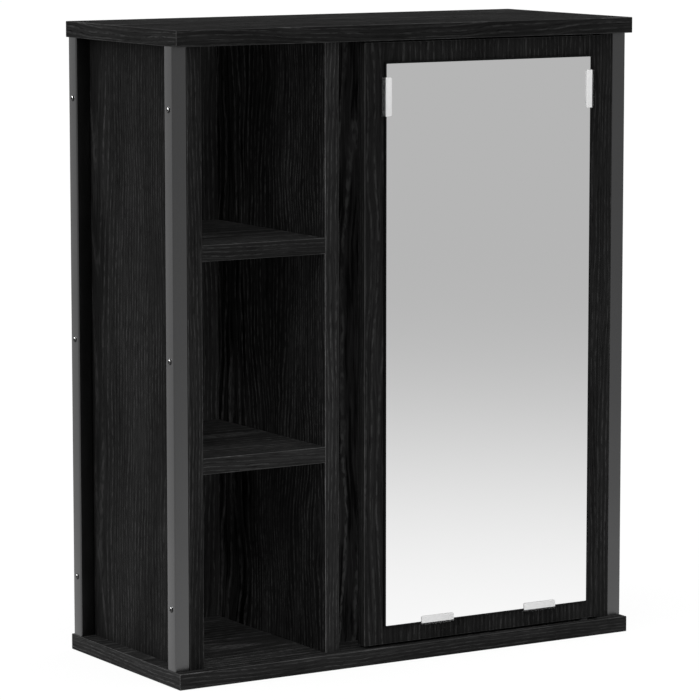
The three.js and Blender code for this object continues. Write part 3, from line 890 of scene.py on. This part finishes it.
class CABINET_OT_mirror(bpy.types.Operator):
    """Make the mirror with its ground edge, and a near-black band of painted shade round the silvering"""

    bl_idname = "cabinet.mirror"
    bl_label = "Mirror"

    def execute(self, context):
        sizes = context.scene.cabinet_sizes
        low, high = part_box("mirror_glass")
        glass = add_block("silvered_mirror", low, high)
        corner = 2 * MM
        round_edges(glass, corner, 4, lambda edge: edge_axis(edge) == Y_AXIS)
        round_edges(glass, sizes.mirror_edge, 1,
                    lambda edge: all(abs(vertex.co.y - low.y) < TOUCH for vertex in edge.verts))
        # The band round the silvering and the glass's edges take the near-black painted shade.
        choose(glass, "FACE", lambda face: face.normal.y < -0.999)
        bpy.ops.mesh.inset(thickness=sizes.mirror_shade_band)
        leave_edit()
        paint(glass, silvered_glass(), mirror_edge_shade())
        faces = glass.data.polygons
        silvered = max((face for face in faces if face.normal.y < -0.999), key=lambda face: face.area)
        for face in faces:
            face.material_index = 0 if face.index == silvered.index or face.normal.y > 0.999 else 1
        smooth(glass, 25)
        hang(glass, "mirror_glass")
        return {"FINISHED"}


def add_clip(name, out_reach, foot, front, length, glass, foot_reach):
    """A clip in its own frame: X away from the glass, Y out of the door, Z along the clip.
    The glass edge is at X = 0 and the door's face at Y = 0. A lip laps over the glass, and a foot
    lies under it."""
    inner, sole = out_reach - CLIP_WALL, foot + CLIP_WALL
    clip = add_block(name, (inner, foot, -length / 2), (out_reach, front, length / 2))
    for level in (glass, sole):
        split(clip, (0, level, 0), (0, 1, 0))
    limbs = ((lambda y: y > glass, CLIP_LAP), (lambda y: y < sole, foot_reach))
    for lies, reach in limbs:
        choose(clip, "FACE", lambda face: face.normal.x < -0.9 and lies(face.calc_center_median().y)
               and abs(face.calc_center_median().x - inner) < TOUCH)
        bpy.ops.mesh.extrude_region_move(TRANSFORM_OT_translate={"value": (-inner - reach, 0, 0)})
        leave_edit()
    split(clip, (0, 0, 0), (1, 0, 0))
    round_clip(clip, glass)
    paint(clip, clip_plastic(), clip_frost())
    for face in clip.data.polygons:
        face.material_index = 1 if face.center.x < 0 and face.center.y > glass - 0.01 * MM else 0
    return clip


def round_clip(clip, glass):
    """Rounds the corners of the clip's lip, then softens all its edges."""
    corner, soft, sharp = bpy.context.scene.cabinet_sizes.clip_corner, 0.25 * MM, 0.7
    round_edges(clip, corner, 5, lambda edge: edge_axis(edge) == Y_AXIS and all(
        abs(vertex.co.x + CLIP_LAP) < TOUCH and vertex.co.y > glass - TOUCH for vertex in edge.verts))
    round_edges(clip, soft, 2, lambda edge: edge.calc_face_angle(0) > sharp)


class CABINET_OT_clips(bpy.types.Operator):
    """Make the clear clips that hold the mirror, and their screws"""

    bl_idname = "cabinet.clips"
    bl_label = "Mirror Clips"

    def execute(self, context):
        mirror_low, mirror_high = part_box("mirror_glass")
        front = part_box("door_panel")[0].y
        glass = mirror_high.y - mirror_low.y
        for side, out in CLIPS.items():
            low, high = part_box(f"{side}_mirror_clip")
            axis = main_axis(out)
            if out[axis] < 0:
                edge, reach = mirror_low[axis], mirror_low[axis] - low[axis]
                foot_reach = high[axis] - mirror_low[axis]
            else:
                edge, reach = mirror_high[axis], high[axis] - mirror_high[axis]
                foot_reach = mirror_high[axis] - low[axis]
            length = (high - low)[X_AXIS if axis == Z_AXIS else Z_AXIS]
            clip = add_clip(
                f"clear_{side}_clip", reach, front - high.y, front - low.y, length, glass, foot_reach)
            outward = Vector(out)
            turn = Matrix((outward, FORWARD, outward.cross(FORWARD))).transposed().to_4x4()
            place = (low + high) / 2
            place[axis], place.y = edge, front
            clip.data.transform(Matrix.Translation(place) @ turn)
            smooth(clip, 50)
            hang(clip, f"{side}_mirror_clip")
        nodes = [f"{side}_clip_screw" for side in CLIPS]
        set_screws(nodes, (0, 1, 0), "clip", zinc())
        return {"FINISHED"}


# Small fittings

def finished_copy(node, name, radius, material):
    """Takes a fitting's own shape, joins its loose faces, softens its edges and gives it a finish."""
    piece = copy_of(frame["nodes"][node], name)
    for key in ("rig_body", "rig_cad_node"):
        del piece[key]
    piece.parent = None
    choose_all(piece)
    bpy.ops.mesh.remove_doubles(threshold=0.01 * MM)
    bpy.ops.mesh.dissolve_limited(angle_limit=math.radians(1))
    leave_edit()
    round_edges(piece, radius, 2, lambda edge: edge.calc_face_angle(0) > math.radians(50))
    paint(piece, material)
    smooth(piece, 40)
    hang(piece, node)


class CABINET_OT_pivots(bpy.types.Operator):
    """Finish the pivot plates, bushes and washer that the door turns on"""

    bl_idname = "cabinet.pivots"
    bl_label = "Door Pivots"

    def execute(self, context):
        for end, inward in (("upper", (0, 0, 1)), ("lower", (0, 0, -1))):
            finished_copy(f"{end}_pivot_plate", f"black_{end}_pivot_plate", 0.15 * MM, black_coat())
            finished_copy(f"{end}_pivot_bush", f"nylon_{end}_pivot_bush", 0.12 * MM, nylon())
            nodes = [f"{end}_pivot_screw_{n}" for n in (1, 2)]
            set_screws(nodes, inward, "pivot", black_coat())
        finished_copy("lower_pivot_washer", "nylon_lower_pivot_washer", 0.15 * MM, nylon())
        return {"FINISHED"}


class CABINET_OT_catch(bpy.types.Operator):
    """Finish the magnetic catch and its strike plate"""

    bl_idname = "cabinet.catch"
    bl_label = "Magnetic Catch"

    def execute(self, context):
        finished_copy("catch_housing", "nylon_catch_housing", 0.35 * MM, nylon())
        finished_copy("catch_magnet", "ferrite_catch_magnet", 0.2 * MM, ferrite())
        finished_copy("strike_plate", "zinc_strike_plate", 0.2 * MM, zinc())
        set_screws(["catch_screw_1", "catch_screw_2"], (0, 0, 1), "catch", zinc())
        set_screws(["strike_screw"], (0, -1, 0), "strike", zinc())
        return {"FINISHED"}


class CABINET_OT_brackets(bpy.types.Operator):
    """Finish the hanging brackets and their screws"""

    bl_idname = "cabinet.brackets"
    bl_label = "Hanging Brackets"

    def execute(self, context):
        for side in ("left", "right"):
            node = f"{side}_hanging_bracket"
            finished_copy(node, f"black_{node}", 0.25 * MM, black_zinc())
        nodes = [f"{side}_bracket_screw_{n}" for side in ("left", "right") for n in (1, 2)]
        set_screws(nodes, (0, 0, 1), "bracket", black_zinc())
        return {"FINISHED"}


# Stage

# What the mirror and other shiny pieces see: a painted reflection, a floor that glows from white to grey
# with its distance in metres from the door's foot for glossy rays only, and a sky that is grey where the
# mirror looks.
MIRROR_LOOKS = (0.524, -0.852, 0)
DOOR_FOOT = (0.1, -0.1, 0)
FALL_START, FALL_LENGTH, FALL_POWER = 0.137, 1.43, 1.8
NEAR_GREY, FAR_GREY, BEHIND_GREY = 0.992, 0.476, 0.74

# What the eye sees of the floor: nearly all white, with a little of the cabinet's soft shadow.
FLOOR_REACH = 30.0
FLOOR_WHITE = 1.03
FLOOR_PALE = 0.88
SKY_LIGHT = 0.52

# Soft lights: bearing and height in degrees, strength, and spread in degrees
LIGHTS = {
    "key_light": (-38, 26, 0.85, 40),
    "left_light": (-95, 20, 1.05, 50),
    "top_light": (0, 80, 1.2, 60),
    "fill_light": (-55, 35, 2.1, 5),
    "bay_light": (-52, 36, 1.2, 8),
    "glint": (-135, 12, 11.0, 24),
}
OPEN_SHELVES = ["oak_lower_open_shelf", "oak_upper_open_shelf"]
OPEN_BAYS = ["oak_divider_panel", "oak_filler_strip", "oak_back_panel", "oak_bottom_panel", *OPEN_SHELVES]
LOWER_PIVOT = ["black_lower_pivot_plate", "fixed_lower_pivot_screw_1", "fixed_lower_pivot_screw_2"]
POST_SCREWS = [f"fixed_{post}_screw_{n}" for post in POSTS for n in (1, 2, 3)]

# Lights that reach some pieces only
LIT_PIECES = {
    "fill_light": ("Lit Inside", [*OPEN_BAYS, *LOWER_PIVOT]),
    "bay_light": ("Lit Divider", ["oak_divider_panel"]),
    "glint": ("Glinting", POST_SCREWS),
}
# Lights that only some pieces shade
SHADING_PIECES = {
    "fill_light": ("Shading Inside", ["oak_door_panel"]),
    "bay_light": ("Shading Divider", ["oak_top_panel", *OPEN_SHELVES]),
}


def floor_material():
    """Pale floor. What mirrors see of it is a painted reflection: it glows, turning from white to grey with
    distance, though no lamp lights it so.
    """
    material = bpy.data.materials.new("Pale Floor")
    material.use_nodes = True
    tree = material.node_tree
    tree.nodes.clear()
    place = put(tree, "ShaderNodeTexCoord").outputs["Object"]
    ahead = put(tree, "ShaderNodeVectorMath", {0: place, 1: MIRROR_LOOKS}, operation="DOT_PRODUCT")
    away = put(tree, "ShaderNodeVectorMath", {0: place, 1: DOOR_FOOT}, operation="DISTANCE")
    front = put(tree, "ShaderNodeVectorMath", {0: place, 1: (0, -1, 0)}, operation="DOT_PRODUCT")
    metres = math_node(tree, "ADD", away.outputs["Value"], FALL_START)
    before = smooth_step(tree, front.outputs["Value"], -0.4, 0.1)
    metres = math_node(tree, "MULTIPLY", metres, before)
    fall = math_node(tree, "POWER", math_node(tree, "DIVIDE", metres, FALL_LENGTH), FALL_POWER)
    left = math_node(tree, "EXPONENT", math_node(tree, "MULTIPLY", fall, -1.0))
    left = math_node(tree, "MULTIPLY", left, NEAR_GREY - FAR_GREY)
    behind = smooth_step(tree, ahead.outputs["Value"], -1.6, -0.2, BEHIND_GREY, 1.0)
    grey = math_node(tree, "MULTIPLY", math_node(tree, "ADD", left, FAR_GREY), behind)
    painted_reflection = put(tree, "ShaderNodeEmission", {"Color": (1, 1, 1, 1), "Strength": grey})
    matt = put(tree, "ShaderNodeBsdfDiffuse", {"Color": (0.9, 0.9, 0.9, 1)})
    white = put(tree, "ShaderNodeEmission", {"Color": (1, 1, 1, 1), "Strength": FLOOR_WHITE})
    pale = put(tree, "ShaderNodeMixShader", {0: FLOOR_PALE, 1: matt.outputs[0], 2: white.outputs[0]})
    path = put(tree, "ShaderNodeLightPath")
    both = put(tree, "ShaderNodeMixShader",
               {0: path.outputs["Is Camera Ray"], 1: matt.outputs[0], 2: pale.outputs[0]})
    # Glossy rays see the painted reflection; other rays see the pale floor.
    both = put(tree, "ShaderNodeMixShader",
               {0: path.outputs["Is Glossy Ray"], 1: both.outputs[0], 2: painted_reflection.outputs[0]})
    end = put(tree, "ShaderNodeOutputMaterial")
    tree.links.new(both.outputs[0], end.inputs["Surface"])
    return material


def studio_sky():
    """White behind the cabinet; soft light from all round; greyer where the door looks."""
    world = bpy.data.worlds.new("Studio")
    bpy.context.scene.world = world
    world.use_nodes = True
    tree = world.node_tree
    tree.nodes.clear()
    place = put(tree, "ShaderNodeTexCoord").outputs["Generated"]
    ahead = put(tree, "ShaderNodeVectorMath", {0: place, 1: MIRROR_LOOKS}, operation="DOT_PRODUCT")
    seen = smooth_step(tree, ahead.outputs["Value"], -0.9, -0.5, BEHIND_GREY, FAR_GREY)
    path = put(tree, "ShaderNodeLightPath")
    soft = {0: path.outputs["Is Diffuse Ray"], 2: seen, 3: SKY_LIGHT}
    level = put(tree, "ShaderNodeMix", soft).outputs[0]
    plain = {0: path.outputs["Is Camera Ray"], 2: level, 3: 1.0}
    level = put(tree, "ShaderNodeMix", plain).outputs[0]
    sky = put(tree, "ShaderNodeBackground", {"Color": (1, 1, 1, 1), "Strength": level})
    end = put(tree, "ShaderNodeOutputWorld")
    tree.links.new(sky.outputs[0], end.inputs["Surface"])


def add_sun(name, azimuth, elevation, strength, spread):
    """A soft light that shines from a bearing (0 is in front, positive to the right) and a height."""
    start_fresh()
    bpy.ops.object.light_add(type="SUN", location=(0, 0, 3))
    lamp = bpy.context.object
    lamp.name = name
    a, e = math.radians(azimuth), math.radians(elevation)
    away = Vector((math.sin(a) * math.cos(e), -math.cos(a) * math.cos(e), math.sin(e)))
    lamp.rotation_mode = "QUATERNION"
    lamp.rotation_quaternion = away.to_track_quat("Z", "Y")
    lamp.data.energy = strength
    lamp.data.angle = math.radians(spread)
    lamp.visible_glossy = False
    return lamp


def set_of(name, members):
    """A collection of the named pieces, for a light that is meant for them alone."""
    group = bpy.data.collections.new(name)
    for member in members:
        group.objects.link(bpy.data.objects[member])
    return group


def add_lights():
    """Sets the soft lights. Only the glint is seen as a reflection, on the post screws."""
    for name, (azimuth, elevation, strength, spread) in LIGHTS.items():
        linking = add_sun(name, azimuth, elevation, strength, spread).light_linking
        if name in LIT_PIECES:
            linking.receiver_collection = set_of(*LIT_PIECES[name])
        if name in SHADING_PIECES:
            linking.blocker_collection = set_of(*SHADING_PIECES[name])
    bpy.data.objects["glint"].visible_glossy = True


def add_camera():
    """Looks at the cabinet from the front left and a little above."""
    start_fresh()
    bpy.ops.object.camera_add(location=(-1.88305, -3.04859, 0.76636))
    camera = bpy.context.object
    camera.name = "camera"
    heading, tilt = math.radians(31.668), math.radians(7.676)
    camera.rotation_euler = (math.pi / 2 - tilt, 0, -heading)
    camera.data.lens = 193.9
    camera.data.sensor_width = 36.0
    camera.data.clip_end = 100.0
    bpy.context.scene.camera = camera


class CABINET_OT_stage(bpy.types.Operator):
    """Set the floor, the light and the camera"""

    bl_idname = "cabinet.stage"
    bl_label = "Stage"

    def execute(self, context):
        start_fresh()
        bpy.ops.mesh.primitive_plane_add(size=2 * FLOOR_REACH, location=(0, 0, CAD_BOX[0].z))
        floor = context.object
        floor.name = "floor"
        floor.data.materials.append(floor_material())
        studio_sky()
        add_lights()
        add_camera()
        context.scene.view_settings.view_transform = "Standard"
        return {"FINISHED"}


class CABINET_PT_build(bpy.types.Panel):
    """Lists the steps that build the cabinet"""

    bl_label = "Mirror Cabinet"
    bl_space_type = "VIEW_3D"
    bl_region_type = "UI"
    bl_category = "Cabinet"

    def draw(self, context):
        scene = context.scene
        for title, group in (("Sizes", scene.cabinet_sizes), ("Colours", scene.cabinet_colours)):
            self.layout.label(text=title)
            for name in group.__annotations__:
                self.layout.prop(group, name)
        for operator in STEPS:
            self.layout.operator(operator.bl_idname)


STEPS = (
    CABINET_OT_boards, CABINET_OT_back, CABINET_OT_posts, CABINET_OT_post_screws, CABINET_OT_door,
    CABINET_OT_mirror, CABINET_OT_clips, CABINET_OT_pivots, CABINET_OT_catch, CABINET_OT_brackets,
    CABINET_OT_stage,
)
CLASSES = (CabinetSizes, CabinetColours, *STEPS, CABINET_PT_build)


def register():
    for cls in CLASSES:
        bpy.utils.register_class(cls)
    bpy.types.Scene.cabinet_sizes = PointerProperty(type=CabinetSizes)
    bpy.types.Scene.cabinet_colours = PointerProperty(type=CabinetColours)


def unregister():
    del bpy.types.Scene.cabinet_colours
    del bpy.types.Scene.cabinet_sizes
    for cls in reversed(CLASSES):
        bpy.utils.unregister_class(cls)


def main():
    register()
    for operator in STEPS:
        family, name = operator.bl_idname.split(".")
        getattr(getattr(bpy.ops, family), name)()


if __name__ == "__main__":
    main()
